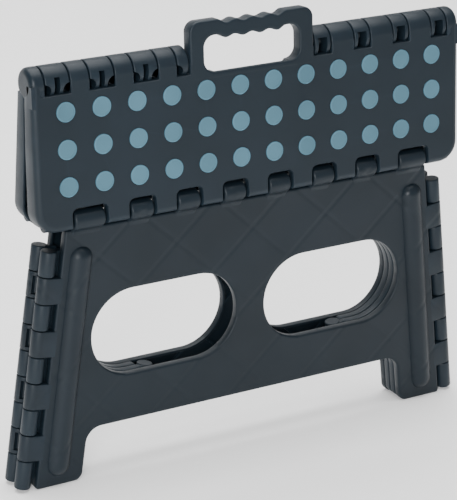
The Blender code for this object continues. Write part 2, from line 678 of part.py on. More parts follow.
for label, back, leg in (("front", -1, leg_front), ("rear", 1, leg_rear)):
    axis = (back * OUTER_AXIS_Y, OUTER_AXIS_Z)
    pin("outer_pin_" + label, leg, (-OUTER_PIN_X, *axis), (OUTER_PIN_X, *axis), OUTER_PIN_R)
for label, side in (("left", -1), ("right", 1)):
    near, far = CENTRE_PIN_X
    pin("centre_pin_" + label, top_front, (side * near, 0, CENTRE_AXIS_Z),
        (side * far, 0, CENTRE_AXIS_Z), CENTRE_PIN_R)
    low, high = CORNER_PIN_SPAN
    for place, back, leg in (("front_", -1, leg_front), ("rear_", 1, leg_rear)):
        pin("corner_pin_" + place + label, leg, end_point(side, back * CORNER_AXIS_Y, low),
            end_point(side, back * CORNER_AXIS_Y, high), CORNER_PIN_R)
    front = pivot("end_" + label + "_front", end_point(side, -CORNER_AXIS_Y, 0), leg_front)
    rear = pivot("end_" + label + "_rear", end_point(side, 0, 0, -END_SPAN), front)
    finish(end_half("end_panel_" + label + "_front", side, -1, False), front, LEG_COLOUR, 0.45)
    finish(end_half("end_panel_" + label + "_rear", side, 1, True), rear, LEG_COLOUR, 0.45)
    for part, place in ((lower_mid(), "lower"), (upper_mid(), "upper")):
        low, high = part["pin"]
        pin("mid_pin_" + label + "_" + place, front, end_point(side, 0, low, -END_SPAN),
            end_point(side, 0, high, -END_SPAN), MID_PIN_R)
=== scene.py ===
"""Visual model of a folding step stool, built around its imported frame.

Every moulded part is a closed outline stacked level by level into a shell with rounded edges.
Outlines are in millimetres and become metres when a mesh is made. X runs along the stool, -Y is
its front and +Z is up. A top half is drawn in the frame of its own face: x along, depth behind
the face, z up the face from the middle row of dots.
"""
import json
import math

import bmesh
import bpy
from mathutils import Matrix, Vector


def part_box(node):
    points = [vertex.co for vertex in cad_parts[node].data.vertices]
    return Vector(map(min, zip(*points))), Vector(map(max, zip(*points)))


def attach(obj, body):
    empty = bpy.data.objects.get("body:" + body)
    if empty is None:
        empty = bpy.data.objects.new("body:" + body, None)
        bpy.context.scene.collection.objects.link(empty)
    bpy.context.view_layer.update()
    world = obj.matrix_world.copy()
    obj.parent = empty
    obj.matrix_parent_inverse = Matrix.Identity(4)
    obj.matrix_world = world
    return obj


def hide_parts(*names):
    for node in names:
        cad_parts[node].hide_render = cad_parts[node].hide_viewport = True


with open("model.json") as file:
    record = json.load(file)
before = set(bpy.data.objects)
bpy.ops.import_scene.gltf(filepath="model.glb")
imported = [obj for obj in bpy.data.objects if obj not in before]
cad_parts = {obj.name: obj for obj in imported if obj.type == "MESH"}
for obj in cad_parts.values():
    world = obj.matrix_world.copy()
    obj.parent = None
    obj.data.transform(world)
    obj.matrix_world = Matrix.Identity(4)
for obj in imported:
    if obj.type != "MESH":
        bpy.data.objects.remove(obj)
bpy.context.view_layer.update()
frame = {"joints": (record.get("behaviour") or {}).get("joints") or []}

MM = 0.001

# Hinge axes, from the frame
joints = {joint["name"]: joint for joint in frame["joints"]}


def axis_of(name):
    return Vector(joints[name]["pos_m"]) / MM


OUTER_AXIS = axis_of("rear_top_hinge")
CENTRE_AXIS = axis_of("centre_hinge")
CORNER_AXIS = axis_of("corner_hinge_right")
MIDDLE_AXIS = axis_of("mid_hinge_right")
AXIS_LEAN = math.atan2(abs(joints["corner_hinge_right"]["axis"][0]),
                       abs(joints["corner_hinge_right"]["axis"][2]))
END_SPAN = math.hypot(CORNER_AXIS.x - MIDDLE_AXIS.x, CORNER_AXIS.z - MIDDLE_AXIS.z)
CORNER_AXIS_Y = abs(CORNER_AXIS.y)

# Moulding
DOT_PITCH = 30.0
ROW_PITCH = 0.956 * DOT_PITCH
DOT_RADIUS = 0.256 * DOT_PITCH
DOT_PROUD = 0.8
DOT_COLUMNS = 12
DISH = 0.15                             # how far a dot's middle lies under its rim
PLATE = 2.6
WALL = 2.4
GAP = 0.3
PROUD = 0.04                            # keeps two flush surfaces of one moulding apart
SEAM = 0.45                             # half the gap between knuckles of the centre hinge
KNUCKLE_ROUND = 1.0

# Top halves, in the face frame
FACE_TOP_Z = 50.3
FACE_LOW_Z = -57.3
CENTRE_R = 12.9
OUTER_R = 8.1
TOP_HALF = 6.4 * DOT_PITCH
TOP_LOW_EDGE = -63.0
TOP_DEPTH = CENTRE_R - GAP
TOP_DEPTH_EDGE = 6.6
TAPER_TOP = 34.0
END_WALL_X = 172.0
END_DEPTH_MIDDLE = 16.2
END_DEPTH_EDGE = 17.8
TOP_CORNER_R = 17.0
TOP_EDGE = 4.6
NOTCH_Z = 1.42 * DOT_PITCH
POCKET_TOP = -1.56 * DOT_PITCH
POCKET_SIDE = 1.4
POCKET_R = 4.0
HANDLE_X = -2.8                         # middle of the handle
HANDLE_HALF = 1.84 * DOT_PITCH
HANDLE_SPAN = (HANDLE_X - HANDLE_HALF, HANDLE_X + HANDLE_HALF)
HANDLE_CLEAR = 1.2                      # handle to the knuckles beside it
HANDLE_TOP = 2.73 * DOT_PITCH
HANDLE_THICK = 11.1
SLOT_HALF = 1.43 * DOT_PITCH
SLOT_LOW = 1.39 * DOT_PITCH
SLOT_HIGH = 2.33 * DOT_PITCH
HANDLE_LOW = 36.0
HANDLE_CORNER = 8.5
SLOT_CORNER = 9.0
FINGER_PITCH = 15.4
FINGER_DIP = 3.2
FINGER_CREST = 2.0
HANDLE_NOTCH = 9                        # handle's ends to the notch in the plate behind it
WELL_HALF = HANDLE_HALF + 1.5
WELL_LOW = 15.3
WELL_R = 9
CENTRE_PITCH = 1.235 * DOT_PITCH
WIDE_KNUCKLE = 0.69 * DOT_PITCH
NARROW_KNUCKLE = 0.51 * DOT_PITCH
OUTER_PITCH = 1.37 * DOT_PITCH
OUTER_KNUCKLE = 0.66 * DOT_PITCH
END_KNUCKLE = 0.88 * DOT_PITCH
END_KNUCKLE_X = 4.92 * DOT_PITCH

# Legs and end panels
LEG_FACE_Y = 14.4
SKIRT_Y = LEG_FACE_Y / 2
CORNER_R = 6.45
MIDDLE_R = 6.3
LEG_TOP_Z = 211.0
LEG_EDGE = 9.2
LEG_ROUND = 1.8
KNUCKLE_FILLET = 8.0
ARCH_Z = 42.6
ARCH_R = 13.5
FOOT_INNER_X = 152.2
FOOT_R = 7.5
HOLE_X = (0.43 * DOT_PITCH, 4.77 * DOT_PITCH)
HOLE_Z = (82.2, 154.2)
HOLE_R = (HOLE_Z[1] - HOLE_Z[0]) / 2 - 0.2
RIDGE_X = 175.0
RIDGE_SLOPE = 0.121
RIDGE_Z = (18.0, 187.0)
RIDGE_R = 10.5
RIDGE_HEIGHT = 6.0
KNUCKLE_LOW = 2.1
KNUCKLE_FIRST = 26.2
KNUCKLE_PITCH = 21.5
KNUCKLE_HIGH = 197.4
CROWN = 193.4
END_LIFT = 0.6                          # end panels clear the floor by this much
RIB = 0.9                               # half the thickness of a rib
LATTICE_PITCH = 46.0
LATTICE_ANGLE = math.radians(42)

PIN_RADII = {"outer": 2.5, "centre": 3.0, "corner": 2.2, "mid": 2.0}

# Camera and light
CAMERA_AT = (-0.8955, -1.4475, 0.8250)
CAMERA_HEADING = math.radians(31.36)
CAMERA_PITCH = math.radians(21.32)
CAMERA_ROLL = math.radians(1.25)
CAMERA_LENS = 164.8

PLASTIC = (0.0075, 0.0135, 0.0195)
# The legs use the same slate, painted about a fifth darker as painted shade on the leg faces.
SHADED_LEG_PLASTIC = (0.0058, 0.0108, 0.0158)
RUBBER = (0.062, 0.140, 0.185)
PIN_COLOUR = (0.030, 0.036, 0.042)


# Outlines

def arc(centre, radius, start, end, step=7.5):
    """Points on an arc, with angles in degrees."""
    count = max(2, math.ceil(abs(end - start) / step))
    turns = [math.radians(start + (end - start) * k / count) for k in range(count + 1)]
    return [Vector((centre[0] + radius * math.cos(a), centre[1] + radius * math.sin(a)))
            for a in turns]


def circle(x, z, radius, step=11.25):
    return arc((x, z), radius, 0, 360, step)[:-1]


def area(loop):
    return sum(a.x * b.y - b.x * a.y for a, b in zip(loop, loop[1:] + loop[:1])) / 2


def outside(corners):
    """A loop of (x, z, radius) corners in the order that has the solid on its left."""
    loop = [(*corner, 0.0)[:3] for corner in corners]
    turned = area([Vector(corner[:2]) for corner in loop]) > 0
    return loop if turned else loop[::-1]


def hole(corners):
    return outside(corners)[::-1]


def offset(loop, distances):
    """Move each edge of a loop to its left by its own distance, and join the edges again."""
    moved = []
    for i, here in enumerate(loop):
        a = (here - loop[i - 1]).normalized()
        b = (loop[(i + 1) % len(loop)] - here).normalized()
        left_a = Vector((-a.y, a.x)) * distances[i - 1]
        left_b = Vector((-b.y, b.x)) * distances[i]
        cross = a.x * b.y - a.y * b.x
        if abs(cross) < 0.02:
            moved.append(here + (left_a + left_b) / 2)
        else:
            apart = left_b - left_a
            moved.append(here + left_a + a * ((apart.x * b.y - apart.y * b.x) / cross))
    return moved


def ring(loop, distances):
    """A loop moved into the solid, with each of its corners turned into an arc."""
    moved = offset([Vector(corner[:2]) for corner in loop], distances)
    points = []
    for i, here in enumerate(moved):
        radius = loop[i][2]
        if not radius:
            points.append(here)
            continue
        back = (moved[i - 1] - here).normalized()
        ahead = (moved[(i + 1) % len(moved)] - here).normalized()
        half = back.angle(ahead) / 2
        convex = back.y * ahead.x - back.x * ahead.y > 0
        inward = (distances[i - 1] + distances[i]) / 2
        radius = max(radius - (inward if convex else -inward), 0.05)
        centre = here + (back + ahead).normalized() * (radius / math.sin(half))
        start = here + back * (radius / math.tan(half)) - centre
        end = here + ahead * (radius / math.tan(half)) - centre
        first = math.atan2(start.y, start.x)
        sweep = (math.atan2(end.y, end.x) - first + math.pi) % (2 * math.pi) - math.pi
        step = 6 if loop[i][2] > 4 else 22.5
        count = max(2, round(math.degrees(math.pi - 2 * half) / step))
        for k in range(count + 1):
            turn = first + sweep * k / count
            points.append(centre + Vector((math.cos(turn), math.sin(turn))) * radius)
    return points


# Levels: (depth, rounding, wall), where rounding and wall move the loop into the solid

def round_edge(radius, steps=4, start=0.0, sign=1):
    """From a flat face to the side it turns into."""
    turns = [math.pi / 2 * k / steps for k in range(steps + 1)]
    curve = [(start + sign * radius * (1 - math.cos(a)), radius * (1 - math.sin(a)), 0)
             for a in turns]
    return [(start, radius + 0.8, 0)] + curve


def tray(edge, depth, wall=WALL, plate=PLATE, lip=0.7):
    """A plate with a rounded edge and a skirt that is open at the back."""
    rim = [(depth - lip, 0, 0), (depth - 0.3 * lip, 0, 0.3 * lip), (depth, 0, lip),
           (depth, 0, wall - lip), (depth - 0.3 * lip, 0, wall - 0.3 * lip),
           (depth - lip, 0, wall), (plate + 1, 0, wall), (plate + 0.3, 0, wall + 0.3),
           (plate, 0, wall + 1), (plate, 0, wall + 2)]
    return round_edge(edge) + rim


def slab(start, end, edge, steps=3, last=None):
    """A solid between two depths with both edges rounded, the last one by its own radius."""
    return (round_edge(edge, steps, start)
            + round_edge(edge if last is None else last, steps, end, -1)[::-1])


def loft(bm, loops, levels, place, share=None):
    """Stack the loops at every level, join them and close both ends."""
    shares = []
    for loop in loops:
        spots = [Vector(corner[:2]) for corner in loop]
        middles = [(a + b) / 2 for a, b in zip(spots, spots[1:] + spots[:1])]
        shares.append([share(middle) if share else 1.0 for middle in middles])
    stack = []
    for depth, rounding, wall in levels:
        rings = []
        for loop, part in zip(loops, shares):
            spots = ring(loop, [rounding * value + wall for value in part])
            rings.append([bm.verts.new(place(spot.x, depth, spot.y)) for spot in spots])
        stack.append(rings)
    faces = []
    for near, far in zip(stack, stack[1:]):
        for a, b in zip(near, far):
            for i in range(len(a)):
                j = (i + 1) % len(a)
                faces.append(bm.faces.new((a[i], a[j], b[j], b[i])))
    for rings in (stack[0], stack[-1]):
        if len(rings) == 1:
            faces.append(bm.faces.new(rings[0]))
        else:
            edges = [bm.edges.get((ring[i - 1], ring[i])) for ring in rings
                     for i in range(len(ring))]
            filled = bmesh.ops.triangle_fill(bm, use_beauty=True, edges=edges)["geom"]
            faces += [item for item in filled if isinstance(item, bmesh.types.BMFace)]
    bmesh.ops.recalc_face_normals(bm, faces=faces)


def as_object(bm, name):
    mesh = bpy.data.meshes.new(name)
    bm.to_mesh(mesh)
    bm.free()
    made = bpy.data.objects.new(name, mesh)
    bpy.context.scene.collection.objects.link(made)
    return made


def boolean(bm, tool, how="DIFFERENCE"):
    """The first shape less the second, or what they share."""
    target, cutter = as_object(bm, "target"), as_object(tool, "cutter")
    change = target.modifiers.new("cut", "BOOLEAN")
    change.operation = how
    change.solver = "EXACT"
    change.object = cutter
    bpy.context.view_layer.update()
    graph = bpy.context.evaluated_depsgraph_get()
    result = bmesh.new()
    result.from_mesh(target.evaluated_get(graph).to_mesh())
    bpy.data.objects.remove(target)
    bpy.data.objects.remove(cutter)
    return result


def merge(bm, other):
    mesh = bpy.data.meshes.new("part")
    other.to_mesh(mesh)
    other.free()
    bm.from_mesh(mesh)
    bpy.data.meshes.remove(mesh)


def box(bm, x, y, z, place):
    loop = outside([(x[0], z[0]), (x[1], z[0]), (x[1], z[1]), (x[0], z[1])])
    loft(bm, [loop], [(min(y), 0, 0), (max(y), 0, 0)], place)


def piece(name, bm, body, nodes, material):
    """Turn a finished shape into a piece that rides on its body."""
    bmesh.ops.scale(bm, vec=(MM, MM, MM), verts=bm.verts)
    made = as_object(bm, name)
    made.data.shade_smooth()
    made.data.set_sharp_from_angle(angle=math.radians(32))
    made.data.materials.append(material)
    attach(made, body)
    if nodes:
        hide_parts(*nodes)
    return made


# Materials

def plastic(name, base, rough, grain=0.10, lattice=False):
    """Moulded plastic: cloudy tone, fine grain, uneven gloss, and edges painted lighter as rubbed
    wear and painted highlight.
    """
    made = bpy.data.materials.new(name)
    made.use_nodes = True
    tree = made.node_tree
    link = tree.links.new
    shader = tree.nodes["Principled BSDF"]
    place = tree.nodes.new("ShaderNodeTexCoord").outputs["Object"]

    def noise(scale, detail):
        texture = tree.nodes.new("ShaderNodeTexNoise")
        texture.inputs["Scale"].default_value = scale
        texture.inputs["Detail"].default_value = detail
        link(place, texture.inputs["Vector"])
        return texture.outputs["Fac"]

    def spread(value, low, high, to_low, to_high):
        ramp = tree.nodes.new("ShaderNodeMapRange")
        for key, number in (("From Min", low), ("From Max", high), ("To Min", to_low),
                            ("To Max", to_high)):
            ramp.inputs[key].default_value = number
        link(value, ramp.inputs["Value"])
        return ramp.outputs["Result"]

    def mixed(factor, first, second):
        blend = tree.nodes.new("ShaderNodeMix")
        blend.data_type = "RGBA"
        link(factor, blend.inputs["Factor"])
        for key, colour in (("A", first), ("B", second)):
            if isinstance(colour, tuple):
                blend.inputs[key].default_value = (*colour, 1)
            else:
                link(colour, blend.inputs[key])
        return blend.outputs["Result"]

    def maths(operation, first, second=None):
        made_node = tree.nodes.new("ShaderNodeMath")
        made_node.operation = operation
        for socket, value in zip(made_node.inputs, (first, second)):
            if isinstance(value, (int, float)):
                socket.default_value = value
            elif value is not None:
                link(value, socket)
        return made_node.outputs[0]

    dark = tuple(0.90 * value for value in base)
    light = tuple(1.12 * value for value in base)
    # Pointy edges are painted up to 2.2 times lighter: partly rubbed wear, partly a painted
    # highlight on the rounded edges.
    wear_and_highlight = tuple(2.2 * value for value in base)
    cloudy = mixed(spread(noise(14, 3), 0.35, 0.65, 0, 1), dark, light)
    edges = spread(tree.nodes.new("ShaderNodeNewGeometry").outputs["Pointiness"],
                   0.52, 0.60, 0, 0.5)
    rubbed_and_highlight = maths("MULTIPLY", edges, spread(noise(60, 4), 0.35, 0.7, 0.2, 1))
    link(mixed(rubbed_and_highlight, cloudy, wear_and_highlight), shader.inputs["Base Color"])
    link(spread(noise(35, 4), 0.3, 0.7, rough - 0.06, rough + 0.07), shader.inputs["Roughness"])
    shader.inputs["Specular IOR Level"].default_value = 0.22

    bump = tree.nodes.new("ShaderNodeBump")
    bump.inputs["Strength"].default_value = grain
    bump.inputs["Distance"].default_value = 0.0003
    link(noise(1100, 3), bump.inputs["Height"])
    if lattice:
        height = None
        for sign in (-1, 1):
            across = tree.nodes.new("ShaderNodeVectorMath")
            across.operation = "DOT_PRODUCT"
            link(place, across.inputs[0])
            across.inputs[1].default_value = (math.sin(LATTICE_ANGLE), 0,
                                              sign * math.cos(LATTICE_ANGLE))
            wave = maths("PINGPONG", across.outputs["Value"], LATTICE_PITCH * MM / 2)
            sink = tree.nodes.new("ShaderNodeMapRange")
            sink.interpolation_type = "SMOOTHSTEP"
            for key, number in (("From Min", 0.0), ("From Max", 0.0035), ("To Min", -1.0),
                                ("To Max", 0.0)):
                sink.inputs[key].default_value = number
            link(wave, sink.inputs["Value"])
            height = sink.outputs["Result"] if height is None else maths(
                "ADD", height, sink.outputs["Result"])
        marks = tree.nodes.new("ShaderNodeBump")
        marks.inputs["Strength"].default_value = 0.45
        marks.inputs["Distance"].default_value = 0.0006
        link(height, marks.inputs["Height"])
        link(marks.outputs["Normal"], bump.inputs["Normal"])
    link(bump.outputs["Normal"], shader.inputs["Normal"])
    return made


# The legs' plastic is the slate darkened as painted shade.
shaded_leg_plastic = plastic("slate_leg_painted_shade", SHADED_LEG_PLASTIC, 0.42, lattice=True)
top_plastic = plastic("slate_top", PLASTIC, 0.42)
end_plastic = plastic("slate_end", PLASTIC, 0.44)
grip_rubber = plastic("pale_rubber", RUBBER, 0.58, grain=0.20)
pin_plastic = plastic("pin_plastic", PIN_COLOUR, 0.36)


# Top halves

ARM = Vector((OUTER_AXIS.y, OUTER_AXIS.z)) - Vector((CENTRE_AXIS.y, CENTRE_AXIS.z))
FACE_TILT = (math.atan2(ARM.x, -ARM.y)
             - math.atan2(CENTRE_R - OUTER_R, FACE_TOP_Z - FACE_LOW_Z))


def skirt_depth(x, z):
    """How deep a top half's skirt is: tapered along its long side, and deep at its ends."""
    if abs(x) < END_WALL_X + 0.1:
        rise = (z - TOP_LOW_EDGE) / (TAPER_TOP - TOP_LOW_EDGE)
        return TOP_DEPTH_EDGE + (TOP_DEPTH - TOP_DEPTH_EDGE) * min(max(rise, 0), 1)
    if z < 0:
        return END_DEPTH_MIDDLE + (END_DEPTH_EDGE - END_DEPTH_MIDDLE) * z / TOP_LOW_EDGE
    return END_DEPTH_MIDDLE + (TOP_DEPTH - END_DEPTH_MIDDLE) * min(z / FACE_TOP_Z, 1)


def face_place(back, taper=False):
    """Where a face-frame point is in the world; back is -1 for the front half, 1 for the rear."""
    def place(x, depth, z):
        if taper and depth > TOP_DEPTH_EDGE - 1:
            depth += skirt_depth(x, z) - TOP_DEPTH
        along, away = z - FACE_TOP_Z, CENTRE_R - depth
        y = away * math.cos(FACE_TILT) - along * math.sin(FACE_TILT)
        height = CENTRE_AXIS.z + away * math.sin(FACE_TILT) + along * math.cos(FACE_TILT)
        return Vector((x, back * y, height))
    return place


def section_place(back):
    """The same for a section in (depth, z), swept along x."""
    place = face_place(back)
    return lambda depth, x, z: place(x, depth, z)


def rear_centre_spans():
    """Spans of the centre hinge that belong to the rear half."""
    left = [-6.03 * DOT_PITCH + CENTRE_PITCH * k for k in range(4)]
    right = [1.795 * DOT_PITCH + CENTRE_PITCH * k for k in range(4)]
    low, high = HANDLE_SPAN[0] - HANDLE_CLEAR, HANDLE_SPAN[1] + HANDLE_CLEAR
    spans = [(x, min(x + WIDE_KNUCKLE, low)) for x in left]
    return spans + [(max(x, high), x + NARROW_KNUCKLE) for x in right]


def between(spans, low, high):
    starts = [low] + [end for _, end in spans]
    ends = [start for start, _ in spans] + [high]
    return [(a, b) for a, b in zip(starts, ends) if b - a > 1]


def outer_spans():
    """Spans of an outer hinge that belong to the leg."""
    inner = [((k + 0.5) * OUTER_PITCH, OUTER_KNUCKLE) for k in range(3)]
    right = inner + [(END_KNUCKLE_X, END_KNUCKLE)]
    spans = [(x - width / 2, x + width / 2) for x, width in right]
    return [(-b, -a) for a, b in reversed(spans)] + spans


def top_outline(theirs, well):
    """The half's face, with pockets for the leg's knuckles and for the other half's."""
    step = 0.5
    corners = [(-TOP_HALF, 0, 0), (-TOP_HALF, TOP_LOW_EDGE, TOP_CORNER_R),
               (-END_WALL_X - step, TOP_LOW_EDGE, 0), (-END_WALL_X, TOP_LOW_EDGE, 0)]
    for a, b in outer_spans():
        corners += [(a - POCKET_SIDE, TOP_LOW_EDGE, 0), (a - POCKET_SIDE, POCKET_TOP, POCKET_R),
                    (b + POCKET_SIDE, POCKET_TOP, POCKET_R), (b + POCKET_SIDE, TOP_LOW_EDGE, 0)]
    corners += [(END_WALL_X, TOP_LOW_EDGE, 0), (END_WALL_X + step, TOP_LOW_EDGE, 0),
                (TOP_HALF, TOP_LOW_EDGE, TOP_CORNER_R), (TOP_HALF, 0, 0)]
    notches = [(a - 0.6, b + 0.6, NOTCH_Z, 0.8) for a, b in theirs]
    if well:
        notches.append((HANDLE_X - WELL_HALF, HANDLE_X + WELL_HALF, WELL_LOW, WELL_R))
    else:
        notches.append((HANDLE_SPAN[0] + HANDLE_NOTCH, HANDLE_SPAN[1] - HANDLE_NOTCH,
                        HANDLE_LOW + 4, 0.8))
    for a, b, low, radius in sorted(notches, reverse=True):
        if b > TOP_HALF:
            corners.append((TOP_HALF, low, 0))
        else:
            corners += [(b, FACE_TOP_Z, 0), (b, low, radius)]
        if a < -TOP_HALF:
            corners.append((-TOP_HALF, low, 0))
        else:
            corners += [(a, low, radius), (a, FACE_TOP_Z, 0)]
    if not well:
        corners.insert(-4 * len(notches), (TOP_HALF, FACE_TOP_Z, 0))
        corners.append((-TOP_HALF, FACE_TOP_Z, 0))
    return outside(corners)


def top_share(middle):
    """The outer sides are well rounded, and the pockets only a little."""
    if middle.y > FACE_TOP_Z - 0.5:
        return 0.05
    if abs(middle.x) > TOP_HALF - TOP_CORNER_R:
        return 1.0
    if middle.y < TOP_LOW_EDGE + 0.5:
        return 1.0
    return 0.22


def dots_of(row, skip=0.0):
    places = [(k - (DOT_COLUMNS - 1) / 2) * DOT_PITCH for k in range(DOT_COLUMNS)]
    return [(x, row * ROW_PITCH) for x in places if abs(x) > skip]


def top_half(name, body, nodes, back, front_half):
    place, across = face_place(back), section_place(back)
    theirs = rear_centre_spans()
    mine = between(theirs, -TOP_HALF - PROUD, TOP_HALF + PROUD)
    mine = [(a, b) for a, b in mine if not a < 0 < b]
    if not front_half:
        mine, theirs = theirs, mine
        theirs[0] = (-TOP_HALF - 9, theirs[0][1])
        theirs[-1] = (theirs[-1][0], TOP_HALF + 9)
    bm = bmesh.new()
    outline = top_outline(theirs, not front_half)
    loft(bm, [outline], tray(TOP_EDGE, TOP_DEPTH), face_place(back, True), top_share)
    recess = bmesh.new()
    places = dots_of(-1) + dots_of(0) + dots_of(1, 0 if front_half else WELL_HALF)
    for x, z in places:
        loft(recess, [outside(circle(x, z, DOT_RADIUS + GAP))], [(-2, 0, 0), (0.8, 0, 0)], place)
    if front_half:
        under_slot(recess, place)
    bm = boolean(bm, recess)

    # Knuckles of the centre hinge, with coring slots on the side that the other half shows
    knuckles, slots = bmesh.new(), bmesh.new()
    barrel = outside(circle(CENTRE_R, FACE_TOP_Z, CENTRE_R + PROUD, 7.5))
    arm = outside([(7.9, 34.0), (0.3, 34.0), (0.3, FACE_TOP_Z), (7.9, FACE_TOP_Z)])
    for a, b in mine:
        start, first = (a, TOP_EDGE) if a < -TOP_HALF else (a + SEAM, KNUCKLE_ROUND)
        end, last = (b, TOP_EDGE) if b > TOP_HALF else (b - SEAM, KNUCKLE_ROUND)
        levels = slab(start, end, first, 4, last)
        loft(knuckles, [barrel], levels, across)
        loft(bm, [arm], levels, across, lambda middle: 1.0 if middle.x < 0 else 0.0)
        core_knuckle(slots, a, b, place)
    merge(bm, boolean(knuckles, slots))

    # Its own knuckles on the outer hinge, between the leg's
    section = arc((OUTER_R, FACE_LOW_Z), OUTER_R - 2.6, 200, 340)
    section += [(OUTER_R, FACE_LOW_Z + 6), (PLATE - 1, FACE_LOW_Z + 6)]
    for a, b in between([(a - POCKET_SIDE, b + POCKET_SIDE) for a, b in outer_spans()], -185, 185):
        loft(bm, [outside(section)], slab(a + 0.3, b - 0.3, 0.6), across)

    # Ribs behind the plate
    low, high = POCKET_TOP + 2.5, (34 if front_half else 8)
    for k in range(-6, 7):
        x = k * DOT_PITCH
        box(bm, (x - RIB, x + RIB), (PLATE - 0.5, 6.4), (low, high), place)
    for z in (-1.5 * ROW_PITCH, -0.5 * ROW_PITCH, 0.5 * ROW_PITCH):
        if z < high:
            box(bm, (-TOP_HALF + 2, TOP_HALF - 2), (PLATE - 0.5, 6.8), (z - RIB, z + RIB), place)
    if front_half:
        handle(bm, place)
    else:
        well_wall(bm, place)
    return piece(name, bm, body, nodes, top_plastic)


def core_knuckle(slots, a, b, place):
    """The coring of one centre knuckle, on the side that the other half's face shows."""
    middle, width = (a + b) / 2, b - a
    depth, height = (8.5, 30), (HANDLE_LOW, FACE_TOP_Z + 7)
    beside_handle = abs(b - HANDLE_SPAN[0]) < 2
    if width <= 17 and not beside_handle:
        box(slots, (a + 0.22 * width, a + 0.75 * width), depth, height, place)
        return
    if not beside_handle:
        box(slots, (middle - 2.2, middle + 2.2), depth, height, place)
    for edge in (a,) if beside_handle else (a, b):
        loft(slots, [outside(circle(edge, NOTCH_Z + 5, 5.4))], [(16, 0, 0), (30, 0, 0)], place)


def finger_wave(x):
    """Height of the grip's edge over its shoulders, which are flat past the last dip."""
    turn = 2 * math.pi * x / FINGER_PITCH
    if abs(x) > 2 * FINGER_PITCH:
        return 0.0
    if abs(x) > 1.5 * FINGER_PITCH:
        return FINGER_DIP * (math.cos(turn) - 1) / 2
    return FINGER_CREST * (math.cos(turn) + 1) / 2 - FINGER_DIP


def under_slot(bm, place):
    """The space behind the plate along the slot's lower edge."""
    left, right = HANDLE_X - SLOT_HALF + SLOT_CORNER, HANDLE_X + SLOT_HALF - SLOT_CORNER
    box(bm, (left, right), (PLATE, 30), (HANDLE_LOW - 1, SLOT_LOW + 1), place)


def handle(bm, place):
    """The carrying handle, waved for the fingers along its top and in its slot."""
    def waves(height):
        places = [FINGER_PITCH * k / 14 for k in range(28, -29, -1)]
        return [(HANDLE_X + x, height + finger_wave(x)) for x in places]

    left, right = HANDLE_SPAN
    outline = [(left, HANDLE_LOW), (right, HANDLE_LOW), (right, HANDLE_TOP, HANDLE_CORNER),
               *waves(HANDLE_TOP), (left, HANDLE_TOP, HANDLE_CORNER)]
    left, right = HANDLE_X - SLOT_HALF, HANDLE_X + SLOT_HALF
    slot = [(left, SLOT_LOW, SLOT_CORNER), (right, SLOT_LOW, SLOT_CORNER),
            (right, SLOT_HIGH, SLOT_CORNER), *waves(SLOT_HIGH), (left, SLOT_HIGH, SLOT_CORNER)]
    levels = [(depth - PROUD, inset, wall) for depth, inset, wall in slab(0, HANDLE_THICK, 1.5)]
    grip, thin = bmesh.new(), bmesh.new()
    loft(grip, [outside(outline), hole(slot)], levels, place)
    under_slot(thin, place)
    merge(bm, boolean(grip, thin))


def well_wall(bm, place):
    """The wall round the well that the handle folds into."""
    left, right, low = HANDLE_X - WELL_HALF, HANDLE_X + WELL_HALF, WELL_LOW
    top, outer_r = TAPER_TOP, WELL_R + WALL
    wall = [(left, top), (left, low, WELL_R), (right, low, WELL_R), (right, top),
            (right + WALL, top), (right + WALL, low - WALL, outer_r),
            (left - WALL, low - WALL, outer_r), (left - WALL, top)]
    loft(bm, [outside(wall)], [(PLATE - 0.6, 0, 0), (9.6, 0, 0)], place)


def grip_row(name, body, node_name, back, places):
    """A row of soft dots with softened rims."""
    bm = bmesh.new()
    for x, z in places:
        rim = round_edge(0.45, 3, -DOT_PROUD)
        dish = [(DISH - DOT_PROUD, 2.0, 0), (DISH - DOT_PROUD, 1.3, 0)]
        loft(bm, [outside(circle(x, z, DOT_RADIUS, 9))], dish + rim + [(0.7, 0, 0)],
             face_place(back))
    return piece(name, bm, body, [node_name], grip_rubber)


# Legs

def end_place(side, back):
    """World point from (out from the corner axis, along it from the floor, y)."""
    sine, cosine = math.sin(AXIS_LEAN), math.cos(AXIS_LEAN)

    def place(out, along, y):
        return Vector((side * (CORNER_AXIS.x - along * sine + out * cosine), back * y,
                       along * cosine + out * sine))
    return place


def front_place(back):
    """World point from (x, y, z) with y measured from the middle plane."""
    return lambda x, y, z: Vector((x, back * y, z))


def edge_x(z, out):
    return CORNER_AXIS.x - z * math.tan(AXIS_LEAN) + out / math.cos(AXIS_LEAN)


def leg_outline():
    slope = math.tan(AXIS_LEAN)
    right = [(edge_x(LEG_TOP_Z, -LEG_EDGE), LEG_TOP_Z, 2.0), (edge_x(0, -LEG_EDGE), 0, 2.5),
             (FOOT_INNER_X, 0, FOOT_R),
             (FOOT_INNER_X - ARCH_Z * slope, ARCH_Z, ARCH_R)]
    left = [(-x, z, radius) for x, z, radius in reversed(right)]
    return outside(right + left)


def hole_outline(side, grow=0.0):
    low, high = HOLE_X[0] - grow, HOLE_X[1] + grow
    bottom, top, radius = HOLE_Z[0] - grow, HOLE_Z[1] + grow, HOLE_R + grow
    return [(side * low, bottom, radius), (side * high, bottom, radius),
            (side * high, top, radius), (side * low, top, radius)]


def corner_spans():
    """Spans of a corner hinge from the floor up: end panel, leg, end panel and so on."""
    cuts = [KNUCKLE_FIRST + KNUCKLE_PITCH * k for k in range(8)]
    return list(zip([KNUCKLE_LOW] + cuts, cuts + [KNUCKLE_HIGH]))


